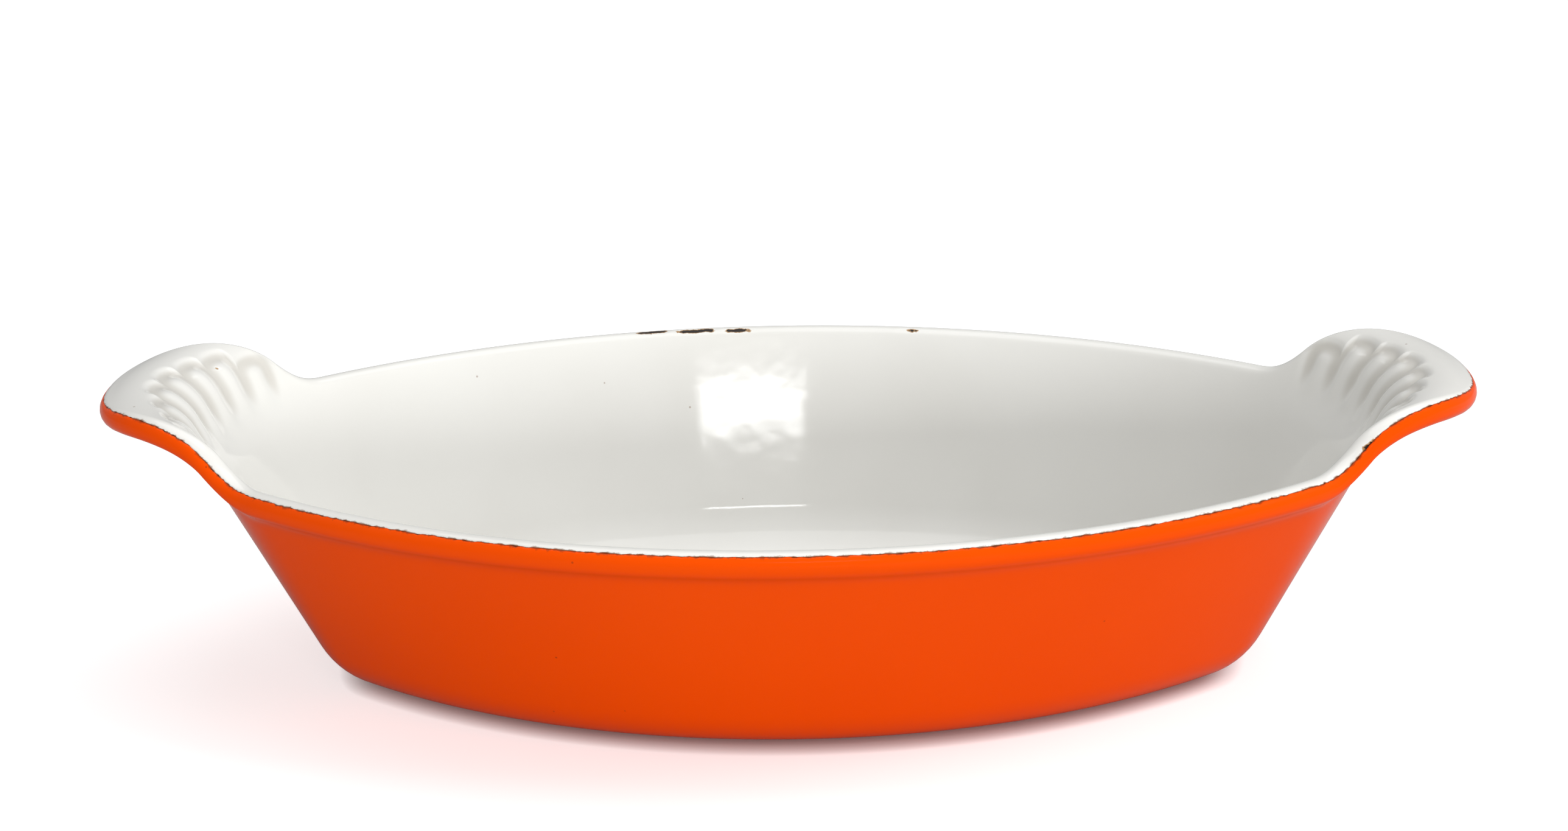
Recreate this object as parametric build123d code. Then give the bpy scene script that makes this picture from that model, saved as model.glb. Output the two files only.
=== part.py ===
from build123d import *
import os
from math import atan2, cos, degrees, pi, radians, sin, tan

# An oval gratin dish of enamelled cast iron. The bowl, its thick rim and the two fan-shaped
# handles are one casting. A dark ground coat covers all of it, then a glossy coat: pale inside
# and over the rim and handles, coloured outside and below. X runs from handle to handle.

# Finished sizes of the bowl, in mm, enamel included
rim_length = 280.0
rim_width = 174.0
end_radius = 59.0
rim_height = 58.0
wall_lean_degrees = 26.5
wall_thickness = 4.5
floor_thickness = 5.0
outer_foot_radius = 22.0
inner_foot_radius = 20.0

# The rolled rim: its thickness, and how far it and the hollow below it run down the wall
rim_thickness = 6.0
rim_depth = 1.5
rim_step_depth = 4.5

# The handles: plates that carry the wall on past the rim, arch over and droop a little
handle_reach = 19.7
handle_thickness = 5.2
handle_rise = 8.0
handle_arch_radius = 15.0
handle_droop_degrees = 17.0

# Plan of a handle: a fan with a round tip, rooted at its widest, whose sides climb from the rim
handle_root = 21.0
handle_root_width = 92.0
handle_tip_width = 44.0
handle_tip_radius = 45.0
handle_corner_radius = 12.0
handle_ramp_degrees = 46.0

# Coats of enamel
ground_coat_thickness = 0.18
top_coat_thickness = 0.32

# How far cutting blocks run past what they cut
overrun = 10.0

lean = radians(wall_lean_degrees)
ramp = radians(handle_ramp_degrees)
turn_over = pi / 2 - lean + radians(handle_droop_degrees)
edge_height = rim_height - rim_thickness / 2 * (1 - sin(lean))
edge_to_outline = rim_thickness / 2 * (1 + cos(lean))
ceiling = rim_height + handle_rise + handle_arch_radius
handle_tip_x = rim_length / 2 + handle_reach
handle_root_x = rim_length / 2 - handle_root

# The rim is a four-arc oval: two end arcs on the X axis, two long side arcs
end_centre = rim_length / 2 - end_radius
half_width = rim_width / 2
side_radius = (end_centre**2 + half_width**2 - end_radius**2) / (2 * (half_width - end_radius))
side_centre = side_radius - half_width
side_sweep = atan2(end_centre, side_centre)
end_sweep = pi / 2 - side_sweep


def plate_point(way, depth):
    """Point of a section: distance out from the rim's inner edge, and height.

    way runs up the inner face from the rim's edge and over the handle. depth is square to it.
    """
    turned = min(max(way - handle_rise, 0) / handle_arch_radius, turn_over)
    heading = lean + turned
    straight = max(way - handle_rise - handle_arch_radius * turned, 0)
    rise = min(way, handle_rise)
    out = rise * sin(lean) + handle_arch_radius * (cos(lean) - cos(heading)) + straight * sin(heading)
    up = rise * cos(lean) + handle_arch_radius * (sin(heading) - sin(lean)) + straight * cos(heading)
    return out + depth * cos(heading), edge_height + up - depth * sin(heading)


def foot_middle(depth, level):
    """Centre of a foot's round: the point of a section at a depth and a level."""
    way = (level - edge_height + depth * sin(lean)) / cos(lean)
    return plate_point(way, depth)


inner_foot_middle = foot_middle(-inner_foot_radius, floor_thickness + inner_foot_radius)
outer_foot_middle = foot_middle(wall_thickness - outer_foot_radius, outer_foot_radius)
floor_edge = min(inner_foot_middle[0], outer_foot_middle[0]) - floor_thickness


def arc(middle, radius, start, end):
    """Arc in a section, about a point, between two directions in radians from level."""
    points = []
    for angle in (start, (start + end) / 2, end):
        points.append((middle[0] + radius * cos(angle), middle[1] + radius * sin(angle)))
    return ThreePointArc(*points)


def closed_face(edges):
    """Face inside edges that follow each other, with a line across each gap between them."""
    ring = []
    for edge, following in zip(edges, edges[1:] + edges[:1]):
        ring.append(edge)
        if (edge @ 1 - following @ 0).length > 1e-6 * rim_length:
            ring.append(Line(edge @ 1, following @ 0))
    return Face(Wire(ring))


def wall_section(depth):
    """Section of the floor's edge, the wall and the rim, at a depth below their finished faces."""
    under_rim = plate_point(-rim_depth, rim_thickness - depth)
    below_step = plate_point(-rim_depth - rim_step_depth, wall_thickness - depth)
    return closed_face([
        arc(inner_foot_middle, inner_foot_radius + depth, -pi / 2, -lean),
        arc(plate_point(0, rim_thickness / 2), rim_thickness / 2 - depth, pi - lean, -lean),
        Line(under_rim, below_step),
        arc(outer_foot_middle, outer_foot_radius - depth, -lean, -pi / 2),
        Line((floor_edge, depth), (floor_edge, floor_thickness - depth)),
    ])


def plate_section(depth):
    """Section of a handle's plate, rooted in the rim and run past its tip."""
    top = (rim_thickness - handle_thickness) / 2 + depth
    bottom = rim_thickness - top
    middle = plate_point(handle_rise, handle_arch_radius)
    start, end = pi - lean, pi - lean - turn_over
    root_way = -rim_depth / 2
    tip_way = handle_rise + handle_arch_radius * turn_over + handle_reach + overrun
    return closed_face([
        arc(middle, handle_arch_radius - top, start, end),
        Line(plate_point(tip_way, top), plate_point(tip_way, bottom)),
        arc(middle, handle_arch_radius - bottom, end, start),
        Line(plate_point(root_way, bottom), plate_point(root_way, top)),
    ])


def swept(section, centre_x, centre_y, radius, heading, sweep):
    """Section turned about an upright axis, as far to both sides of a heading in radians."""
    upright = Pos(radius - edge_to_outline, 0, 0) * Rotation(90, 0, 0) * section
    turned = revolve(Rotation(0, 0, degrees(heading - sweep)) * upright, Axis.Z, degrees(2 * sweep))
    return Pos(centre_x, centre_y, 0) * turned


def oval_block(low, high):
    """Upright block inside the floor's edge, which all the swept sections join."""
    inset = edge_to_outline - floor_edge
    corner_x = end_centre + (end_radius - inset) * cos(end_sweep)
    corner_y = (end_radius - inset) * sin(end_sweep)
    end_x = rim_length / 2 - inset
    side_y = half_width - inset
    outline = Wire([
        ThreePointArc((corner_x, -corner_y), (end_x, 0), (corner_x, corner_y)),
        ThreePointArc((corner_x, corner_y), (0, side_y), (-corner_x, corner_y)),
        ThreePointArc((-corner_x, corner_y), (-end_x, 0), (-corner_x, -corner_y)),
        ThreePointArc((-corner_x, -corner_y), (0, -side_y), (corner_x, -corner_y)),
    ])
    return Pos(0, 0, low) * extrude(Face(outline), high - low, dir=(0, 0, 1))


def round_the_dish(end_section, side_section, low, high):
    """Form with one section at its ends and one at its sides, filled inside from low to high."""
    form = oval_block(low, high)
    for heading in (0, pi):
        form += swept(end_section, end_centre * cos(heading), 0, end_radius, heading, end_sweep)
    for heading in (pi / 2, -pi / 2):
        form += swept(side_section, 0, -side_centre * sin(heading), side_radius, heading, side_sweep)
    return form


def handle_plan(depth):
    """Upright block with the plan of a handle, at a depth inside its edges."""
    sides = Polygon(
        (handle_root_x, -handle_root_width / 2 + depth),
        (handle_tip_x, -handle_tip_width / 2 + depth),
        (handle_tip_x, handle_tip_width / 2 - depth),
        (handle_root_x, handle_root_width / 2 - depth),
        align=None,
    )
    plan = sides & Pos(handle_tip_x - handle_tip_radius, 0) * Circle(handle_tip_radius - depth)
    corners = plan.vertices().group_by(Axis.X)[-1]
    return extrude(fillet(corners, handle_corner_radius - depth), ceiling)


def under_ramp(depth):
    """Block below the slope by which both sides of a handle climb out of the rim."""
    low = edge_height - rim_thickness * sin(lean) - depth / cos(ramp)
    head_x = handle_root_x + (ceiling - low) / tan(ramp)
    far_x = head_x + handle_reach + handle_root
    side = Polygon(
        (handle_root_x, 0), (far_x, 0), (far_x, ceiling), (head_x, ceiling), (handle_root_x, low),
        align=None,
    )
    return extrude(Rotation(90, 0, 0) * side, handle_root_width / 2, both=True)


def dish(depth):
    """The whole dish at a depth below its finished faces."""
    wall = wall_section(depth)
    bowl = round_the_dish(wall, wall, depth, floor_thickness - depth)
    plate = swept(plate_section(depth), end_centre, 0, end_radius, 0, end_sweep)
    handle = plate & handle_plan(depth) & under_ramp(depth)
    return bowl + handle + mirror(handle, about=Plane.YZ)


def pale_side():
    """Block inside the middle of the wall and above that of the handles, which parts the top coats."""
    depth = rim_thickness / 2
    floor_level = floor_thickness - depth
    top = ceiling + handle_arch_radius
    foot = arc(inner_foot_middle, inner_foot_radius + depth, -pi / 2, -lean)
    inside = Line((floor_edge, top), (floor_edge, floor_level))
    arch_middle = plate_point(handle_rise, handle_arch_radius)
    arch = arc(arch_middle, handle_arch_radius - depth, pi - lean, pi - lean - turn_over)
    tip_way = handle_rise + handle_arch_radius * turn_over + handle_reach + 2 * overrun
    tip = plate_point(tip_way, depth)
    wall_foot = foot @ 1
    wall_top = (wall_foot.X + (top - wall_foot.Y) * tan(lean), top)
    end_section = closed_face([foot, arch, Line(tip, (tip[0], top)), inside])
    side_section = closed_face([foot, Line(wall_foot, wall_top), inside])
    return round_the_dish(end_section, side_section, floor_level, top)


def build():
    """Every piece of the dish by its name."""
    iron = dish(top_coat_thickness + ground_coat_thickness)
    primed = dish(top_coat_thickness)
    top_coat = dish(0) - primed
    inside = pale_side()
    return {
        "iron_casting": iron,
        "ground_coat": primed - iron,
        "interior_enamel": top_coat & inside,
        "exterior_enamel": top_coat - inside,
    }


os.makedirs("parts", exist_ok=True)
for name, piece in build().items():
    export_step(piece, f"parts/{name}.step")
    print(name, "solids", len(piece.solids()), "volume", round(piece.volume), "valid", piece.is_valid)
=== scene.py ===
# %% [markdown]
# # An oval gratin dish of enamelled cast iron
# The real dish is one iron casting: a bowl with sloping walls, a thick rolled rim, and two
# fan-shaped handles that grow out of the rim. It is dipped in a dark ground coat and fired, then
# sprayed pale inside and flame orange outside, and fired again. The model is built in the same
# layers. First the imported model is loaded, which gives the dish its place and its size.

# %% Load the dish
from math import atan2, cos, pi, radians, sin

import bpy
import numpy as np
from mathutils import Matrix, Vector


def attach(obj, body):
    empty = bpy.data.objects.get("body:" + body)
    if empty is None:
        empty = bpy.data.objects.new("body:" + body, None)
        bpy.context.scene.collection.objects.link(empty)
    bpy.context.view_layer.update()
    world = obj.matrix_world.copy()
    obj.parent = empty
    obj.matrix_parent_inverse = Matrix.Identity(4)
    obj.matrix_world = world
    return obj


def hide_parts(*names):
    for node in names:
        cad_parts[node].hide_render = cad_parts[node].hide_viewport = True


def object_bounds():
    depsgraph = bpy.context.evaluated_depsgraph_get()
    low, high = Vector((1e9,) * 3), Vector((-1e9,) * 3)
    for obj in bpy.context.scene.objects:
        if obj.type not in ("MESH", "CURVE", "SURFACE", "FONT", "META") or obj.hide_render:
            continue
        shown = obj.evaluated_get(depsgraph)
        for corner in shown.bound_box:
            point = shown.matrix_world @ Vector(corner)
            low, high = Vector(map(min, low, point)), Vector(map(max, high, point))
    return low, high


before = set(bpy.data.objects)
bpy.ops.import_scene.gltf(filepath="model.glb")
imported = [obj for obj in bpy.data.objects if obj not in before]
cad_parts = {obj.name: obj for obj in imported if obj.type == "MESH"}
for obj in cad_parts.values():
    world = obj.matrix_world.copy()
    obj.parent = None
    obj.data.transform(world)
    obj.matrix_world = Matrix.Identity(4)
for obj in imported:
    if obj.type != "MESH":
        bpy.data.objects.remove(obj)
loaded_box = [list(map(float, corner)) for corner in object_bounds()]
lowest, highest = np.array(loaded_box)
print("loaded", np.round((highest - lowest) * 1000, 2), "mm")

# %% [markdown]
# ## The rim seen from above
# A maker draws the rim as a four-arc oval: a tight arc at each end and a long flat one at each
# side, meeting without a kink. We could sweep a profile along a curve, but the handles change the
# profile from place to place. So the rim is cut into many upright columns, each with its own
# place and outward heading, and every surface of the dish is a net of rows across these columns.

# %% Columns round the rim
MM = 0.001
rim_half_length = 139.97
rim_half_width = 86.97
end_radius = 59.0
end_centre = rim_half_length - end_radius
side_radius = (end_centre**2 + rim_half_width**2 - end_radius**2) / (2 * (rim_half_width - end_radius))
side_centre = side_radius - rim_half_width
end_sweep = pi / 2 - atan2(end_centre, side_centre)
end_step = radians(0.4)
side_step = 0.8

end_count = 2 * round(end_sweep / end_step)
side_count = 2 * round((pi / 2 - end_sweep) * side_radius / side_step)


def arc_headings(middle, sweep, count):
    """Headings of the columns of one arc, without the last, which the next arc starts with."""
    return middle + np.linspace(-sweep, sweep, count, endpoint=False)


heading = np.concatenate([
    arc_headings(0, end_sweep, end_count),
    arc_headings(pi / 2, pi / 2 - end_sweep, side_count),
    arc_headings(pi, end_sweep, end_count),
    arc_headings(3 * pi / 2, pi / 2 - end_sweep, side_count),
])
on_end = np.repeat([True, False, True, False], [end_count, side_count, end_count, side_count])
arc_radius = np.where(on_end, end_radius, side_radius)
centre_x = np.where(on_end, np.where(np.cos(heading) > 0, end_centre, -end_centre), 0)
centre_y = np.where(on_end, 0, np.where(np.sin(heading) > 0, -side_centre, side_centre))
from_axis = np.angle(np.exp(1j * (heading - np.where(np.cos(heading) > 0, 0, pi))))
print(len(heading), "columns,", end_count, "on each end")

# %% [markdown]
# ## The section of the wall and the handle
# Along every column the metal is a bent plate: it climbs the leaning wall, passes the rim, and at
# the ends arches over and droops into a handle. One function gives a point of that plate by its
# way, the distance up the inner face from the rim, and its depth, square into the metal. With
# the same function at several depths, the coats and the iron nest inside each other exactly.

# %% Point of the plate
wall_lean_degrees = 26.5
handle_droop_degrees = 17.2
lean = radians(wall_lean_degrees)
rim_thickness = 6.0
wall_thickness = 4.1
floor_thickness = 5.0
handle_rise = 7.45
arch_radius = 15.1
turn_over = pi / 2 - lean + radians(handle_droop_degrees)
rim_height = 57.98
edge_height = rim_height - rim_thickness / 2 * (1 - sin(lean))
edge_to_outline = rim_thickness / 2 * (1 + cos(lean))


def plate_heading(way):
    """Direction in which the plate climbs at a way, as an angle from upright."""
    return lean + np.clip((way - handle_rise) / arch_radius, 0, turn_over)


def plate_point(way, depth):
    """Distance out from the rim's inner edge, and height, in mm."""
    turned = plate_heading(way)
    straight = np.maximum(way - handle_rise - arch_radius * (turned - lean), 0)
    rise = np.minimum(way, handle_rise)
    out = rise * sin(lean) + arch_radius * (cos(lean) - np.cos(turned)) + straight * np.sin(turned)
    up = rise * cos(lean) + arch_radius * (np.sin(turned) - sin(lean)) + straight * np.cos(turned)
    return out + depth * np.cos(turned), edge_height + up - depth * np.sin(turned)


print("wall leans", wall_lean_degrees, "degrees, rim edge at", round(edge_height, 2), "mm")

# %% [markdown]
# ## How far each handle reaches
# Seen from above, a handle is a fan that swells smoothly out of the rim, is nearly straight
# across its front and runs back into the rim. A simple power law of the angle from the handle's
# middle has this shape. From the reach we look up how long the way of each column is.

# %% Edge of the handles
handle_reach = 19.67
shoulder_power = 2.85
root_power = 3.5
longest_way = 45.0
trial_count = 4000

share = np.clip(np.abs(from_axis) / end_sweep, 0, 1)
reach = np.where(on_end, handle_reach * (1 - share**shoulder_power) ** root_power, 0)
trial_way = np.linspace(0, longest_way, trial_count)
trial_reach = plate_point(trial_way, rim_thickness / 2)[0] + rim_thickness / 2 - edge_to_outline
edge_way = np.interp(reach, trial_reach, trial_way)
edge_heading = plate_heading(edge_way)
print("longest way over a handle", round(float(edge_way.max()), 2), "mm")

# %% [markdown]
# ## The shell fluting
# Each handle is cast as a scallop shell: long rounded ridges with soft valleys fan out from
# the rim and end in blunt tips, short of a smooth raised border. Carving or sculpting would
# work, but the pattern is regular, so it is worked out: each ridge is a long pill shape, and the
# surface sinks towards its outline. The sinking is a depth into the metal, so it needs no
# extra geometry. Only the pale coat's outer face carries it at full size.

# %% Hollows between the ridges
ridge_count = 8
ridge_pitch = radians(8.7)
ridge_end = 21.0
ridge_end_fall = 11.5
flute_depth = 0.95
flute_start = -4.0
flute_full = 7.0
border_width = 4.5
border_shoulder = 2.8
tip_squareness = 2.4


def eased(value, low, high):
    """From 0 at low to 1 at high, starting and ending gently."""
    share = np.clip((value - low) / (high - low), 0, 1)
    return share * share * (3 - 2 * share)


def ridge_end_way(ridge_heading):
    """Way at which a ridge ends: near an even arc, and always a border short of the edge."""
    near = np.argsort(from_axis[:end_count])
    edge = np.interp(ridge_heading, from_axis[:end_count][near], edge_way[:end_count][near])
    return np.minimum(ridge_end - ridge_end_fall * np.abs(ridge_heading), edge - border_width)


def hollow(way):
    """Depth of the fluting in mm, for rows of ways across all the columns."""
    half_count = ridge_count / 2
    ridge = np.clip(np.floor(from_axis / ridge_pitch), -half_count, half_count - 1) + 0.5
    ridge_heading = ridge * ridge_pitch
    spread = arc_radius - edge_to_outline + plate_point(way, 0)[0]
    half_ridge = spread * ridge_pitch / 2
    aside = spread * (from_axis - ridge_heading)
    beyond = np.maximum(way - (ridge_end_way(ridge_heading) - half_ridge), 0)
    away = (np.abs(aside) ** tip_squareness + beyond**tip_squareness) ** (1 / tip_squareness) / half_ridge
    on_ridge = eased(away, 0, 1)
    past_ridge = 1 - eased((away - 1) * half_ridge, 0, border_shoulder)
    shape = np.where(away < 1, on_ridge, past_ridge)
    return np.where(on_end, flute_depth * shape * eased(way, flute_start, flute_full), 0)


print(2 * ridge_count, "ridges,", flute_depth, "mm deep")

# %% [markdown]
# ## Rows from the floor to the rim's edge
# The inside runs from the middle of the floor, round the foot, up the wall, over the ridges
# and round the rim's edge. Each stretch gives its own rows. The rows of the wall and
# handle are spread evenly over each column's length, so that no face shrinks to nothing.

# %% Inner side, row by row
inner_foot_radius = 20.0
inner_inset = 1.2
outer_inset = 2.7
inset_fade = 8.0
inset_full_heading = radians(12)
inset_none_heading = radians(50)
foot_row_count = 14
inner_foot_way = (floor_thickness + inner_foot_radius * (1 - sin(lean)) - edge_height) / cos(lean)
inner_foot_middle = plate_point(inner_foot_way, -inner_foot_radius)
floor_shares = np.array([0.04, 0.15, 0.3, 0.45, 0.6, 0.7, 0.8, 0.88, 0.94, 0.98])
near_end = np.where(on_end, 1 - eased(np.abs(from_axis), inset_full_heading, inset_none_heading), 0)


def placed(out, up):
    """Points in metres from distances out and heights, for rows across all the columns."""
    spread = arc_radius - edge_to_outline + out
    x = centre_x + spread * np.cos(heading)
    y = centre_y + spread * np.sin(heading)
    return np.stack(np.broadcast_arrays(x, y, up), axis=-1) * MM


def flat_rows(ring, shares):
    """Rings of a flat floor: smaller copies of its outline."""
    scales = np.concatenate([shares[:, None] * [1, 1], np.ones((len(shares), 1))], axis=1)
    return ring * scales[:, None, :]


def foot_rows(middle, radius, start, end, inset):
    """Rows round a foot, between two angles from level."""
    angle = np.linspace(start, end, foot_row_count)[:, None]
    out = middle[0] + radius * np.cos(angle) - inset * near_end
    return placed(out, middle[1] + radius * np.sin(angle))


def edge_rows(depth, start, end, count):
    """Rows round the rounded edge of rim and handles, between two angles from upright."""
    out, up = plate_point(edge_way, rim_thickness / 2)
    angle = start + (end - start) * np.linspace(0, 1, count)[:, None]
    radius = rim_thickness / 2 - depth
    return placed(out + radius * np.sin(angle), up + radius * np.cos(angle)), angle


def inner_side(depth, wall_count, edge_count, line):
    """Rings from the floor's middle to a line round the edge, with the way of each point."""
    foot = foot_rows(inner_foot_middle, inner_foot_radius + depth, -pi / 2, -lean, inner_inset)
    floor = flat_rows(foot[0], floor_shares)
    way = inner_foot_way + (edge_way - inner_foot_way) * np.linspace(0, 1, wall_count)[1:, None]
    out, up = plate_point(way, depth + hollow(way))
    wall = placed(out - inner_inset * near_end * eased(-way, 0, inset_fade), up)
    edge, angle = edge_rows(depth, edge_heading - pi / 2, line, edge_count)
    edge_girth = edge_way + rim_thickness / 2 * (angle - edge_heading + pi / 2)
    low_girth = np.full((len(floor) + len(foot), len(heading)), inner_foot_way)
    rings = np.concatenate([floor, foot, wall, edge[1:]])
    return rings, np.concatenate([low_girth, way, edge_girth[1:]])


print("the inner foot starts", round(-inner_foot_way, 1), "mm below the rim's edge")

# %% [markdown]
# ## Rows from the rim's edge to the base
# Outside, the plate is thick along its edge and gets thinner just below it, which leaves the
# rolled bead that catches the light, all round the rim and the handles. Then come the wall, the
# rounded foot and the flat base that the dish stands on.

# %% Outer side, row by row
outer_foot_radius = 20.0
outer_foot_depth = wall_thickness - outer_foot_radius
outer_foot_way = (outer_foot_radius - edge_height + outer_foot_depth * sin(lean)) / cos(lean)
outer_foot_middle = plate_point(outer_foot_way, outer_foot_depth)
bead_hollow = 9.0
hollow_bend = 3.2


def outer_depth(way):
    """Depth of the outer face: the wall's, and the full edge's in the bead that runs all round."""
    share = eased(way - edge_way, -bead_hollow, 0)
    return wall_thickness + (rim_thickness - wall_thickness) * share**hollow_bend


def outer_side(depth, wall_count, edge_count, line):
    """Rings from a line round the edge to the base's middle, with their distance from the line."""
    edge, angle = edge_rows(depth, line, edge_heading + pi / 2, edge_count)
    edge_girth = rim_thickness / 2 * (angle - line)
    way = edge_way + (outer_foot_way - edge_way) * np.linspace(0, 1, wall_count)[1:, None]
    out, up = plate_point(way, outer_depth(way) - depth)
    wall = placed(out - outer_inset * near_end * eased(edge_way - way, 0, inset_fade), up)
    foot = foot_rows(outer_foot_middle, outer_foot_radius - depth, -lean, -pi / 2, outer_inset)
    base = flat_rows(foot[-1], floor_shares[::-1])
    wall_girth = edge_girth[-1] + edge_way - way
    low_girth = np.tile(wall_girth[-1], (len(foot) - 1 + len(base), 1))
    rings = np.concatenate([edge, wall, foot[1:], base])
    return rings, np.concatenate([edge_girth, wall_girth, low_girth])


print("the outer foot starts", round(-outer_foot_way, 1), "mm below the rim's edge")

# %% [markdown]
# ## From rings to a solid piece
# A list of rings becomes a closed skin: neighbouring rings are joined by four-sided faces, and
# the first and last rings are closed by a fan to their middle. A coat is built as one such
# list that runs out along its face and back along its underside, so it has a real thickness.

# %% Make a piece
def closed_skin(rings, start):
    """Points and faces of one closed skin, whose points are numbered from start."""
    rows, columns = rings.shape[:2]
    points = np.concatenate([rings.reshape(-1, 3), [rings[0].mean(axis=0), rings[-1].mean(axis=0)]])
    index = start + np.arange(rows * columns).reshape(rows, columns)
    following = np.roll(index, -1, axis=1)
    middle = np.full(columns, start + rows * columns)
    quads = np.stack([index[:-1], index[1:], following[1:], following[:-1]], axis=-1)
    first = np.stack([middle, index[0], following[0]], axis=-1)
    last = np.stack([middle + 1, following[-1], index[-1]], axis=-1)
    return points, quads.reshape(-1, 4).tolist() + first.tolist() + last.tolist()


def ring_piece(name, skins, marks, node):
    """Piece of one or more closed skins. marks gives each point of the first skin its values."""
    points, faces = closed_skin(skins[0], 0)
    for rings in skins[1:]:
        more_points, more_faces = closed_skin(rings, len(points))
        points = np.concatenate([points, more_points])
        faces += more_faces
    mesh = bpy.data.meshes.new(name)
    mesh.from_pydata(points.tolist(), [], faces)
    mesh.polygons.foreach_set("use_smooth", np.ones(len(mesh.polygons), dtype=bool))
    for mark, values in marks.items():
        stored = mesh.attributes.new(mark, "FLOAT", "POINT")
        closed_values = np.concatenate([values.ravel(), values[0, :1], values[-1, :1]])
        stored.data.foreach_set("value", closed_values)
    piece = bpy.data.objects.new(name, mesh)
    bpy.context.scene.collection.objects.link(piece)
    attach(piece, "root")
    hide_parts(node)
    print(name, len(mesh.polygons), "faces")
    return piece


# %% [markdown]
# ## Where the two colours meet
# The orange is sprayed first and wiped off the rim's shoulder, and the pale coat is sprayed up
# to it. The two never meet cleanly: a thin ragged line of the dark ground coat is left
# bare between them. Seeded waves of many lengths make the line wander and open and close. They
# are added up by hand because a noise texture wouldn't close up on itself round the rim.

# %% The bare line
line_angle = 0.662
line_wander = 0.032
gap_mean = 0.004
gap_wander = 0.05
smallest_gap = 0.008
chance = np.random.default_rng(28)
round_share = np.arange(len(heading)) / len(heading) * 2 * pi


def wander(slowest, fastest, waves):
    """Smooth random values round the rim, about -1 to 1, that close up on themselves."""
    counts = chance.integers(slowest, fastest, waves)
    shifts = chance.uniform(0, 2 * pi, waves)
    return sum(np.sin(count * round_share + shift) for count, shift in zip(counts, shifts)) / waves**0.5


line = line_angle + line_wander * wander(6, 420, 40)
gap = np.clip(gap_mean + gap_wander * wander(30, 420, 40), smallest_gap, None)
pale_line = line - gap / 2
flame_line = line + gap / 2
gap_in_mm = gap * rim_thickness / 2
print("gap", round(float(gap_in_mm.min()), 3), "to", round(float(gap_in_mm.max()), 2), "mm")

# %% [markdown]
# ## Chips
# Enamel is glass, and a knock on the rim breaks a thin flake out of it. Each chip is a long
# soft spot, given by its heading, its place across the rim and its half sizes. The mark is
# stored on the mesh, which sinks there, and the material breaks its outline up and shows the
# dark ground coat and iron below.

# %% Places of the chips
CHIPS = [
    {"heading": 1.765, "girth": 3.1, "along": 4.2, "across": 1.0, "strength": 1.0},
    {"heading": 1.705, "girth": 2.3, "along": 5.4, "across": 0.85, "strength": 0.95},
    {"heading": 1.645, "girth": 1.8, "along": 3.6, "across": 0.75, "strength": 0.9},
    {"heading": 1.402, "girth": 1.8, "along": 2.6, "across": 0.8, "strength": 0.47},
    {"heading": -0.658, "girth": 5.1, "along": 1.3, "across": 0.8, "strength": 0.8},
    {"heading": 2.793, "girth": -12.4, "along": 0.4, "across": 0.4, "strength": 0.62},
]
chip_sink = 0.24


def chip_mark(girth):
    """1 in the middle of a chip, falling to 0 round it."""
    mark = np.zeros_like(girth)
    for chip in CHIPS:
        along = (heading - chip["heading"]) * arc_radius / chip["along"]
        across = (girth - edge_way - chip["girth"]) / chip["across"]
        mark = np.maximum(mark, chip["strength"] * np.exp(-(along**4 + across**2)))
    return mark


print(len(CHIPS), "chips, the longest", 2 * max(chip["along"] for chip in CHIPS), "mm")

# %% [markdown]
# ## The four pieces
# From the outside in: the pale coat inside and over the rim and handle tops, the flame
# coat outside and below, the ground coat as a thin shell under both, and the iron. The hidden
# undersides need fewer rows than the faces that show.

# %% Build the coats and the casting
top_coat = 0.32
ground_coat = 0.18
wall_rows = 130
hidden_rows = 60


def with_marks(girth, shown, to_line):
    """Marks of the pale coat: distance to the bare line in mm, chips, and the fluting's hollows.

    Only the first shown rings are its face, which alone can be chipped.
    """
    marks = {"edge": to_line, "chip": chip_mark(girth), "hollow": hollow(girth)}
    marks["chip"][shown:] = 0
    return marks


pale_rings, pale_girth = inner_side(0, wall_rows, 14, pale_line)
pale_under, under_girth = inner_side(top_coat, hidden_rows, 8, pale_line)
pale_all_girth = np.concatenate([pale_girth, under_girth[::-1]])
pale_edge = pale_all_girth[len(pale_girth) - 1]
pale_marks = with_marks(pale_all_girth, len(pale_girth), pale_edge - pale_all_girth)
face_normal = np.cross(np.gradient(pale_rings, axis=0), np.gradient(pale_rings, axis=1))
face_normal /= np.linalg.norm(face_normal, axis=-1, keepdims=True)
sunk = pale_marks["chip"][:len(pale_rings)] * chip_sink * MM
pale_rings = pale_rings - face_normal * sunk[..., None]
pale_coat = ring_piece(
    "pale_enamel", [np.concatenate([pale_rings, pale_under[::-1]])],
    pale_marks, "interior_enamel")

flame_rings, flame_girth = outer_side(0, wall_rows, 10, flame_line)
flame_under, _ = outer_side(top_coat, hidden_rows, 8, flame_line)
flame_to_line = np.concatenate([np.full(flame_under.shape[:2], longest_way), flame_girth])
flame_marks = {"edge": flame_to_line, "chip": np.zeros_like(flame_to_line)}
flame_coat = ring_piece(
    "flame_enamel", [np.concatenate([flame_under[::-1], flame_rings])],
    flame_marks, "exterior_enamel")

# %% [markdown]
# ## Under the colours
# The ground coat and the iron are closed skins all the way round. They hardly show, only in
# the bare line and the chips, but they are real pieces, and a repaint or a cut would show them.

# %% Build the ground coat and the iron
def whole_skin(depth):
    """Rings round the whole dish at a depth, from the floor's middle to the base's."""
    inside = inner_side(depth, hidden_rows, 10, line)[0]
    outside = outer_side(depth, hidden_rows, 10, line)[0]
    return np.concatenate([inside, outside[1:]])


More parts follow.
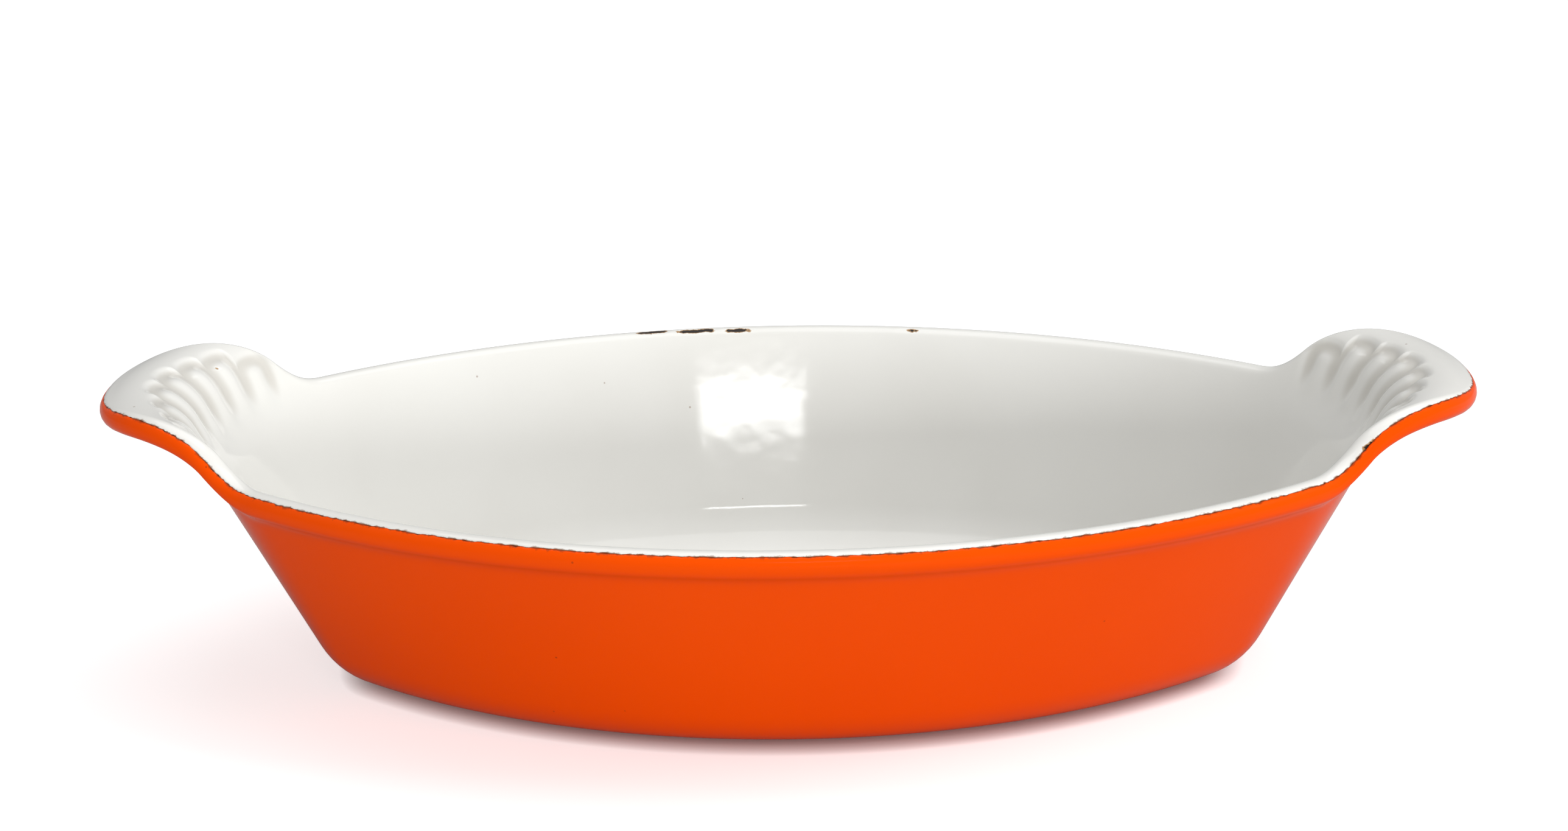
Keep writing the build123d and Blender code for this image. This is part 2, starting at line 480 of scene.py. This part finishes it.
ground_out = whole_skin(top_coat)
ground_in = whole_skin(top_coat + ground_coat)
ground = ring_piece("ground_coat", [ground_out, ground_in[::-1]], {}, "ground_coat")
iron = ring_piece("casting", [ground_in], {}, "iron_casting")

# %% [markdown]
# ## Effects for all the enamels
# Enamel is a fired glass: it is glossy, very gently wavy like orange peel, and here and there
# holds a pinhole. These effects belong to both colours, so each is a node group with its own
# inputs, placed in each material with its own values. First come two short helpers.

# %% Shader helpers
def input_of(node, name):
    """Input socket by its name, or by its place where the name is i0, i1 and so on."""
    if name[0] == "i" and name[1:].isdigit():
        return node.inputs[int(name[1:])]
    return node.inputs[name.replace("_", " ")]


def add_node(tree, kind, settings=None, **inputs):
    """Adds a shader node, sets its options, and sets or links its inputs by name."""
    made = tree.nodes.new(kind)
    for option, value in (settings or {}).items():
        setattr(made, option, value)
    for name, value in inputs.items():
        socket = input_of(made, name)
        if isinstance(value, bpy.types.NodeSocket):
            tree.links.new(value, socket)
        else:
            socket.default_value = value
    return made


def new_group(name, inputs, outputs):
    """Empty shader group with named sockets. Returns the tree, its input node and its output node."""
    tree = bpy.data.node_groups.new(name, "ShaderNodeTree")
    for direction, sockets in (("INPUT", inputs), ("OUTPUT", outputs)):
        for socket, kind in sockets.items():
            tree.interface.new_socket(name=socket, in_out=direction, socket_type=f"NodeSocket{kind}")
    return tree, tree.nodes.new("NodeGroupInput"), tree.nodes.new("NodeGroupOutput")


def math_node(tree, operation, first, second=0.0, clamp=False):
    """Output of a Math node."""
    settings = {"operation": operation, "use_clamp": clamp}
    return add_node(tree, "ShaderNodeMath", settings, i0=first, i1=second).outputs[0]


def ranged(tree, value, low, high, start=0.0, end=1.0):
    """Output of a Map Range node that eases from start at low to end at high."""
    settings = {"interpolation_type": "SMOOTHSTEP"}
    inputs = {"From_Min": low, "From_Max": high, "To_Min": start, "To_Max": end}
    return add_node(tree, "ShaderNodeMapRange", settings, Value=value, **inputs).outputs["Result"]


def mixed(tree, factor, first, second):
    """Output of a colour Mix node."""
    return add_node(tree, "ShaderNodeMix", {"data_type": "RGBA"}, i0=factor, i6=first, i7=second).outputs[2]


def place_in(tree):
    """Output that gives the place on the object, in metres."""
    return add_node(tree, "ShaderNodeTexCoord").outputs["Object"]


def mark_of(tree, name):
    """Output that gives a mark stored on the mesh."""
    return add_node(tree, "ShaderNodeAttribute", {"attribute_name": name}).outputs["Fac"]


def noise(tree, place, size, detail, roughness=0.5):
    """Output of a Noise node. A larger size makes smaller spots."""
    inputs = {"Vector": place, "Scale": size, "Detail": detail, "Roughness": roughness}
    return add_node(tree, "ShaderNodeTexNoise", **inputs).outputs["Fac"]


print("helpers for", bpy.app.version_string, "are ready")

# %% [markdown]
# ### Waviness and pinholes
# A slow noise bends the reflections a little, and a sparse pattern of tiny dots stands for
# pinholes and specks of dust fired into the glass. Both are heights for one bump.

# %% Group: fired surface
speck_inner = 0.018
speck_outer = 0.032
pinhole_height = 0.00006
chip_height = 0.00012


def fired_surface_group():
    """Group that gives the normal of fired enamel and a mask of its tiny specks."""
    tree, given, result = new_group(
        "Fired surface",
        {"Wave Size": "Float", "Wave Height": "Float", "Speck Spacing": "Float", "Sunk": "Float"},
        {"Normal": "Vector", "Specks": "Float"},
    )
    place = place_in(tree)
    waves = noise(tree, place, given.outputs["Wave Size"], 1.5)
    dots = add_node(tree, "ShaderNodeTexVoronoi", Vector=place, Scale=given.outputs["Speck Spacing"])
    speck = ranged(tree, dots.outputs["Distance"], speck_inner, speck_outer, 1.0, 0.0)
    height = math_node(tree, "MULTIPLY", waves, given.outputs["Wave Height"])
    height = math_node(tree, "SUBTRACT", height, math_node(tree, "MULTIPLY", speck, pinhole_height))
    sinking = math_node(tree, "MULTIPLY", given.outputs["Sunk"], chip_height)
    height = math_node(tree, "SUBTRACT", height, sinking)
    bump = add_node(tree, "ShaderNodeBump", Strength=0.6, Distance=1.0, Height=height)
    tree.links.new(bump.outputs["Normal"], result.inputs["Normal"])
    tree.links.new(speck, result.inputs["Specks"])
    return tree


fired_surface = fired_surface_group()
print("made group", fired_surface.name)

# %% [markdown]
# ### Thin edges and chips
# Where a top coat ends it gets thin, and the dark coat below shows through as a brown, ragged
# fringe. A chip goes deeper: a tan halo of broken glass round a nearly black middle. The
# group takes the marks that are stored on the mesh and roughens them with noise.

# %% Group: thin and broken enamel
coarse_spots = 420.0
fine_spots = 1500.0
narrowest_fringe = 0.02
chip_raggedness = 1.5
halo_start, halo_full = 0.30, 0.42
bare_start, bare_full = 0.50, 0.60


def broken_enamel_group():
    """Group that gives a coat's colour with its thin edge and chips, and a mask of what is bare."""
    colours = {"Coat": "Color", "Thin": "Color", "Halo": "Color", "Bare": "Color"}
    tree, given, result = new_group(
        "Thin and broken enamel",
        colours | {"Thin Width": "Float", "Thin Strength": "Float"},
        {"Colour": "Color", "Broken": "Float"},
    )
    place = place_in(tree)
    edge = mark_of(tree, "edge")
    chip = mark_of(tree, "chip")
    coarse = noise(tree, place, coarse_spots, 3.0, 0.65)
    fine = noise(tree, place, fine_spots, 2.0, 0.6)
    ragged = math_node(tree, "MULTIPLY", ranged(tree, coarse, 0.35, 0.7), given.outputs["Thin Width"])
    ragged = math_node(tree, "MULTIPLY", ragged, ranged(tree, fine, 0.2, 0.8, 0.5, 1.4))
    fringe = math_node(tree, "MAXIMUM", ragged, narrowest_fringe)
    thin = math_node(tree, "SUBTRACT", 1.0, math_node(tree, "DIVIDE", edge, fringe), True)
    thin = math_node(tree, "MULTIPLY", thin, given.outputs["Thin Strength"], True)
    spots = math_node(tree, "MULTIPLY", math_node(tree, "SUBTRACT", coarse, 0.5), chip_raggedness)
    rough_chip = math_node(tree, "ADD", chip, spots)
    rough_chip = math_node(tree, "MULTIPLY", rough_chip, ranged(tree, chip, 0.02, 0.25))
    halo = ranged(tree, rough_chip, halo_start, halo_full)
    bare = ranged(tree, rough_chip, bare_start, bare_full)
    colour = mixed(tree, thin, given.outputs["Coat"], given.outputs["Thin"])
    colour = mixed(tree, halo, colour, given.outputs["Halo"])
    colour = mixed(tree, bare, colour, given.outputs["Bare"])
    tree.links.new(colour, result.inputs["Colour"])
    tree.links.new(bare, result.inputs["Broken"])
    return tree


broken_enamel = broken_enamel_group()
print("made group", broken_enamel.name)

# %% [markdown]
# ## The two glossy colours
# Both are the same kind of glass with different pigment. The pale one is a warm white, painted
# darker in the valleys of the shell as shade, and both drift a little at random towards a darker tone.
# The orange is deep and saturated, and where it runs thin at the bare line it turns brown. Coat and
# shine are set on the shader's own sockets. The orange mirrors less than the pale one, as it does in the
# photograph.

# %% Material: a coat of enamel
enamel_ior = 1.52
# Share of the darker colour painted as shade at the bottoms of the flute valleys.
valley_shade_share = 0.55
cloud_size = 22.0
cloud_share = 0.10
speck_share = 0.5
broken_roughness = 0.62
halo_colour = (0.42, 0.25, 0.11, 1)
bare_colour = (0.018, 0.012, 0.010, 1)


def group_node(tree, group, **inputs):
    """Places a group in a material with its own values."""
    return add_node(tree, "ShaderNodeGroup", {"node_tree": group}, **inputs)


def enamel(name, coat, thin, cloud_and_valley_shade_colour, thin_width, thin_strength, gloss, mirror):
    """Glossy enamel of one colour, with specks, a thin edge, chips, a cloudy tone and painted shade in the
    flute valleys.
    """
    material = bpy.data.materials.new(name)
    material.use_nodes = True
    tree = material.node_tree
    shader = tree.nodes["Principled BSDF"]
    # Painted shade: the pale coat darkens towards the bottoms of the flute valleys, following the stored
    # hollow depth. The cloud below is random tone.
    valley_shade = ranged(tree, mark_of(tree, "hollow"), 0.25, flute_depth, 0.0, valley_shade_share)
    cloud = ranged(tree, noise(tree, place_in(tree), cloud_size, 2.0), 0.35, 0.75, 0.0, cloud_share)
    body = mixed(tree, valley_shade, mixed(tree, cloud, coat, cloud_and_valley_shade_colour), cloud_and_valley_shade_colour)
    broken = group_node(
        tree, broken_enamel, Coat=body, Thin=thin, Halo=halo_colour, Bare=bare_colour,
        Thin_Width=thin_width, Thin_Strength=thin_strength)
    surface = group_node(
        tree, fired_surface, Wave_Size=165.0, Wave_Height=0.000045, Speck_Spacing=95.0,
        Sunk=broken.outputs["Broken"])
    speck = math_node(tree, "MULTIPLY", surface.outputs["Specks"], speck_share)
    colour = mixed(tree, speck, broken.outputs["Colour"], thin)
    roughness = ranged(tree, broken.outputs["Broken"], 0.0, 1.0, gloss, broken_roughness)
    tree.links.new(colour, shader.inputs["Base Color"])
    tree.links.new(roughness, shader.inputs["Roughness"])
    tree.links.new(surface.outputs["Normal"], shader.inputs["Normal"])
    shader.inputs["IOR"].default_value = enamel_ior
    shader.inputs["Specular IOR Level"].default_value = mirror
    return material


# Each coat's darker colour serves as its random cloudy tone, and on the pale coat also as painted shade in
# the flute valleys.
pale_material = enamel(
    "Pale enamel", coat=(0.85, 0.843, 0.808, 1), thin=(0.24, 0.10, 0.04, 1), cloud_and_valley_shade_colour=(0.56, 0.53, 0.47, 1),
    thin_width=0.55, thin_strength=1.0, gloss=0.07, mirror=0.5)
flame_material = enamel(
    "Flame enamel", coat=(0.93, 0.080, 0.0, 1), thin=(0.20, 0.035, 0.008, 1), cloud_and_valley_shade_colour=(0.80, 0.050, 0.001, 1),
    thin_width=0.7, thin_strength=0.9, gloss=0.14, mirror=0.07)
pale_coat.data.materials.append(pale_material)
flame_coat.data.materials.append(flame_material)
print("materials", pale_material.name, "and", flame_material.name)

# %% [markdown]
# ## The dark ground coat and the iron
# The ground coat is a dark brown glass with rusty freckles. The iron is rough and grey from the
# sand of the mould. A fine grain is enough for both, since they show only in thin slits.

# %% Materials: ground coat and iron
grain_height = 0.0002


def dark_material(name, colour, fleck, roughness, grain_size, metallic):
    """Dark speckled surface with a fine grain."""
    material = bpy.data.materials.new(name)
    material.use_nodes = True
    tree = material.node_tree
    shader = tree.nodes["Principled BSDF"]
    grain = noise(tree, place_in(tree), grain_size, 4.0)
    bump = add_node(tree, "ShaderNodeBump", Strength=0.4, Distance=grain_height, Height=grain)
    flecked = mixed(tree, ranged(tree, grain, 0.52, 0.68), colour, fleck)
    tree.links.new(flecked, shader.inputs["Base Color"])
    tree.links.new(bump.outputs["Normal"], shader.inputs["Normal"])
    shader.inputs["Roughness"].default_value = roughness
    shader.inputs["Metallic"].default_value = metallic
    return material


ground_material = dark_material(
    "Ground coat", colour=(0.075, 0.026, 0.012, 1), fleck=(0.20, 0.065, 0.025, 1),
    roughness=0.35, grain_size=900.0, metallic=0.0)
iron_material = dark_material(
    "Cast iron", colour=(0.12, 0.115, 0.11, 1), fleck=(0.07, 0.06, 0.055, 1),
    roughness=0.65, grain_size=1400.0, metallic=0.6)
ground.data.materials.append(ground_material)
iron.data.materials.append(iron_material)
print("materials", ground_material.name, "and", iron_material.name)

# %% [markdown]
# ## Table and background
# The dish stands on a plain white sheet that keeps its soft shadow. To the camera the
# sheet and the world are white, while the light that they give the dish stays at a plain level.
# The sheet's own glow, which only the camera sees, is dimmed by ambient occlusion where the dish
# touches it, a painted contact shadow, and rises far away, so that no grey horizon shows.

# %% Floor
lit_colour = (0.55, 0.55, 0.55, 1)
seen_colour = (0.735, 0.75, 0.755, 1)
# Reach of the painted contact shadow round the dish's foot.
painted_contact_shadow_reach = 0.004
near_glow, far_glow = 0.6, 1.0
glow_rises_from, glow_is_full_at = 0.6, 2.5


def white_floor_material():
    """Matt white sheet, brighter to the camera than to the light that it gives back."""
    material = bpy.data.materials.new("White sheet")
    material.use_nodes = True
    tree = material.node_tree
    tree.nodes.remove(tree.nodes["Principled BSDF"])
    seen = add_node(tree, "ShaderNodeLightPath").outputs["Is Camera Ray"]
    colour = mixed(tree, seen, lit_colour, seen_colour)
    matt = add_node(tree, "ShaderNodeBsdfDiffuse", Color=colour)
    # Painted contact shadow: ambient occlusion dims the camera-only glow next to the dish.
    painted_contact_shadow = add_node(tree, "ShaderNodeAmbientOcclusion", {"samples": 8}, Distance=painted_contact_shadow_reach)
    from_dish = add_node(tree, "ShaderNodeVectorMath", {"operation": "LENGTH"}, i0=place_in(tree))
    rising = ranged(
        tree, from_dish.outputs["Value"], glow_rises_from, glow_is_full_at, near_glow, far_glow)
    own_light = math_node(tree, "MULTIPLY", painted_contact_shadow.outputs["AO"], rising)
    glow = add_node(tree, "ShaderNodeEmission", Strength=math_node(tree, "MULTIPLY", seen, own_light))
    both = add_node(tree, "ShaderNodeAddShader", i0=matt.outputs["BSDF"], i1=glow.outputs["Emission"])
    tree.links.new(both.outputs["Shader"], tree.nodes["Material Output"].inputs["Surface"])
    return material


floor_half = 6.0
floor_mesh = bpy.data.meshes.new("floor")
corners = [(x * floor_half, y * floor_half, 0) for x, y in ((-1, -1), (1, -1), (1, 1), (-1, 1))]
floor_mesh.from_pydata(corners, [], [(0, 1, 2, 3)])
floor = bpy.data.objects.new("floor", floor_mesh)
bpy.context.scene.collection.objects.link(floor)
floor_mesh.materials.append(white_floor_material())
print("floor", 2 * floor_half, "m wide")

# %% [markdown]
# ## Light
# Glossy enamel shows its lamps, so only two are mirrored in it: a wide one overhead, and a small
# softbox that puts the bright patch on the back wall. A key from the right leaves the right
# inner wall darker, a low lamp in front lights the orange wall, and a weak one fills in
# from the left. The world does the rest.

# %% Lamps and world
def soft_lamp(name, place, target, width, depth, power, mirrored):
    """Area lamp at a place, in metres, that faces a target. Gloss shows it only if it is mirrored."""
    light = bpy.data.lights.new(name, "AREA")
    light.shape = "RECTANGLE"
    light.size = width
    light.size_y = depth
    light.energy = power
    lamp = bpy.data.objects.new(name, light)
    lamp.location = place
    lamp.rotation_euler = (Vector(target) - Vector(place)).to_track_quat("-Z", "Y").to_euler()
    lamp.visible_glossy = mirrored
    bpy.context.scene.collection.objects.link(lamp)
    print(name, power, "W")


soft_lamp(
    "overhead", place=(0, 0.25, 1.7), target=(0, 0, 0),
    width=1.5, depth=1.5, power=9.0, mirrored=True)
soft_lamp(
    "key at right", place=(1.4, -0.15, 1.25), target=(0, 0, 0.03),
    width=0.9, depth=0.9, power=16.5, mirrored=False)
soft_lamp(
    "low front", place=(0.35, -1.6, 0.18), target=(0, 0, 0.03),
    width=1.2, depth=0.3, power=13.8, mirrored=False)
soft_lamp(
    "fill at left", place=(-1.4, -0.3, 1.2), target=(0, 0, 0.03),
    width=0.9, depth=0.9, power=2.2, mirrored=False)
soft_lamp(
    "small softbox", place=(0.09, -1.02, 0.819), target=(0, 0.06, 0.04),
    width=0.29, depth=0.037, power=0.45, mirrored=True)

world_light = 0.33
world = bpy.data.worlds.new("studio")
bpy.context.scene.world = world
world.use_nodes = True
sky = world.node_tree
seen = add_node(sky, "ShaderNodeLightPath").outputs["Is Camera Ray"]
strength = ranged(sky, seen, 0.0, 1.0, world_light, 1.0)
sky.nodes["Background"].inputs["Color"].default_value = (1, 1, 1, 1)
sky.links.new(strength, sky.nodes["Background"].inputs["Strength"])
bpy.context.scene.view_settings.view_transform = "Standard"

# %% [markdown]
# ## Camera
# The photograph is taken from a little above the table, close in front of the dish. The values come
# from fitting the oval rim, the handles and the base to their outlines in the picture.

# %% Set the camera
camera_distance = 0.6575
camera_elevation = 0.312
camera_yaw = 0.019
camera_roll = 0.018
camera_target = Vector((-0.00056, 0, 0.0603))
camera_lens = 64.34

level_reach = cos(camera_elevation)
back = Vector((sin(camera_yaw) * level_reach, -cos(camera_yaw) * level_reach, sin(camera_elevation)))
level_right = Vector((cos(camera_yaw), sin(camera_yaw), 0))
level_up = back.cross(level_right)
right = cos(camera_roll) * level_right - sin(camera_roll) * level_up
up = sin(camera_roll) * level_right + cos(camera_roll) * level_up
camera = bpy.data.objects.new("camera", bpy.data.cameras.new("camera"))
camera.data.sensor_fit = "HORIZONTAL"
camera.data.sensor_width = 36.0
camera.data.lens = camera_lens
turn = Matrix((right, up, back)).transposed().to_4x4()
camera.matrix_world = Matrix.Translation(camera_target + back * camera_distance) @ turn
bpy.context.scene.collection.objects.link(camera)
bpy.context.scene.camera = camera
print("camera", camera_distance, "m from the dish")

# %% [markdown]
# ## Last step
# The scene is brought up to date.

# %% Finish
bpy.context.view_layer.update()
